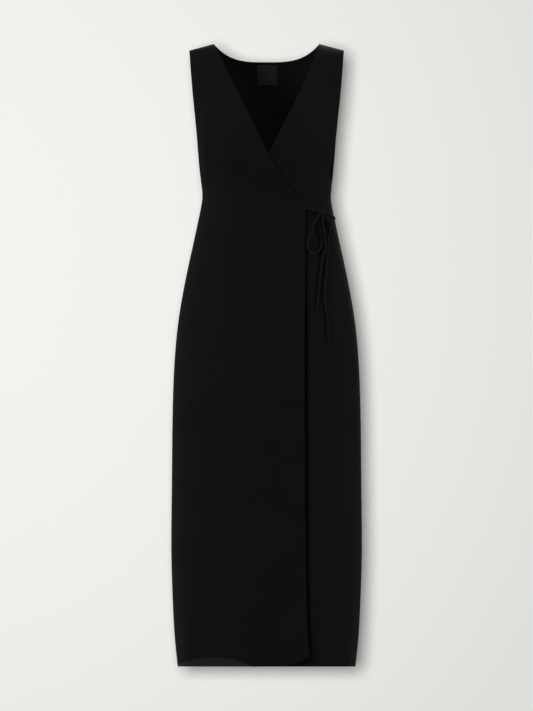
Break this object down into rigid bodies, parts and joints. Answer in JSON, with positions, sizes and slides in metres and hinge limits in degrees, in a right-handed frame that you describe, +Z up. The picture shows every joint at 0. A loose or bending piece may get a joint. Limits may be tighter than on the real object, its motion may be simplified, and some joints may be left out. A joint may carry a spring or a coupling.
{
  "type": "wrap dress",
  "caption": "Sleeveless wrap dress with a V neck and a long straight skirt, tied at the side in a bow of thin cords.",
  "frame": {"origin": "midway between the shoulder seams at the height of the high shoulder points, where the wearer's shoulders carry the dress", "axes": "+Z up the body from hem to shoulders, +X to the wearer's left, -Y to the wearer's front"},
  "size_m": [0.4188, 0.2459, 1.367],
  "materials": {
    "crepe": "matt black crepe",
    "tie_crepe": "black crepe rouleau, slightly shinier on its bends",
    "label_satin": "black woven satin, bare"
  },
  "bodies": {
    "root": {"back": "crepe", "front_wrap": "crepe", "front_under": "crepe", "neck_label": "label_satin", "tie_knot": "tie_crepe", "tie_wrap_lead": "tie_crepe", "tie_wrap_loop": "tie_crepe", "tie_wrap_tail": "tie_crepe", "tie_side_lead": "tie_crepe", "tie_side_loop": "tie_crepe", "tie_side_tail": "tie_crepe"}
  },
  "joints": []
}
